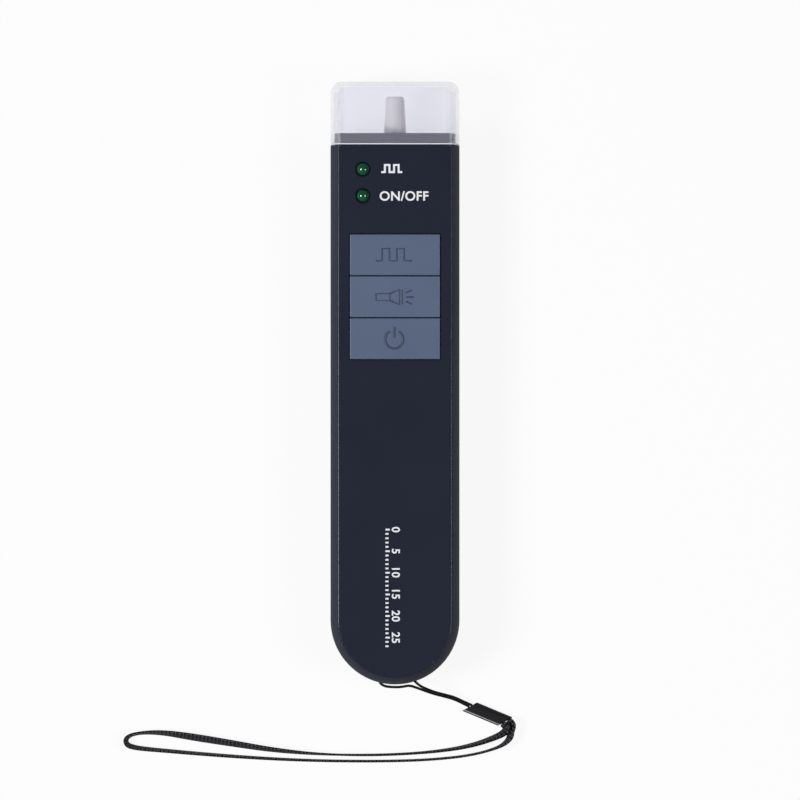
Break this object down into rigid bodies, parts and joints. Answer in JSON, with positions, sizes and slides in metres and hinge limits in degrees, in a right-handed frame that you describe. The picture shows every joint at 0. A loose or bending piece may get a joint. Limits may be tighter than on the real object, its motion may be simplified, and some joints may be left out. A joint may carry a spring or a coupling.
{
  "type": "visual fault locator",
  "caption": "Pocket light source for tracing fibre: flat case with a round tail, translucent pull-off cap over the port, stacked keys, indicator lamps and a wrist strap.",
  "frame": {"origin": "middle of the device on the surface that it lies on, below the centre of its box without the strap", "axes": "+Y towards the cap and port, +Z out of the face with the keys, +X to the right seen from the face"},
  "size_m": [0.0907, 0.1583, 0.0189],
  "materials": {
    "case": "fine-textured moulded, satin",
    "cap": "frosted translucent",
    "keys": "satin moulded",
    "plunger": "moulded",
    "switch": "moulded",
    "board": "solder mask",
    "chip": "moulded",
    "lamp": "clear tinted, polished",
    "torch_lens": "clear, polished",
    "barrel": "turned",
    "guard": "pale, moulded",
    "sleeve": "ground",
    "cell": "printed can",
    "contact": "plated spring strip",
    "screw": "plated",
    "strap": "woven",
    "clasp": "folded and stitched"
  },
  "bodies": {
    "root": {"front_shell": "case", "rear_shell": "case", "circuit_board": "board", "driver_chip": "chip", "upper_lamp": "lamp", "lower_lamp": "lamp", "laser_barrel": "barrel", "port_guard": "guard", "ferrule_sleeve": "sleeve", "torch_lamp": "torch_lens", "left_cell": "cell", "right_cell": "cell", "left_contact": "contact", "right_contact": "contact", "tail_contact": "contact", "left_spring": "contact", "right_spring": "contact", "case_screws": "screw", "board_screws": "screw", "strap_clasp": "clasp", "strap_cord": "strap", "strap_ribbon": "strap", "pulse_switch": "switch", "torch_switch": "switch", "power_switch": "switch"},
    "cap_body": {"cap": "cap"},
    "door_body": {"battery_door": "case"},
    "pulse_key_body": {"pulse_key": "keys", "pulse_plunger": "plunger"},
    "torch_key_body": {"torch_key": "keys", "torch_plunger": "plunger"},
    "power_key_body": {"power_key": "keys", "power_plunger": "plunger"}
  },
  "joints": [
    {"name": "cap_pull", "type": "slide", "parent": "root", "child": "cap_body", "axis": [0, 1, 0], "range_m": [0, 0.03]},
    {"name": "door_swing", "type": "hinge", "parent": "root", "child": "door_body", "pos_m": [0, -0.05745, 0], "axis": [-1, 0, 0], "range_deg": [0, 35]},
    {"name": "pulse_press", "type": "slide", "parent": "root", "child": "pulse_key_body", "axis": [0, 0, -1], "range_m": [0, 0.0004], "stiffness_N_per_m": 400, "springref_m": -0.001},
    {"name": "torch_press", "type": "slide", "parent": "root", "child": "torch_key_body", "axis": [0, 0, -1], "range_m": [0, 0.0004], "stiffness_N_per_m": 400, "springref_m": -0.001},
    {"name": "power_press", "type": "slide", "parent": "root", "child": "power_key_body", "axis": [0, 0, -1], "range_m": [0, 0.0004], "stiffness_N_per_m": 400, "springref_m": -0.001}
  ]
}
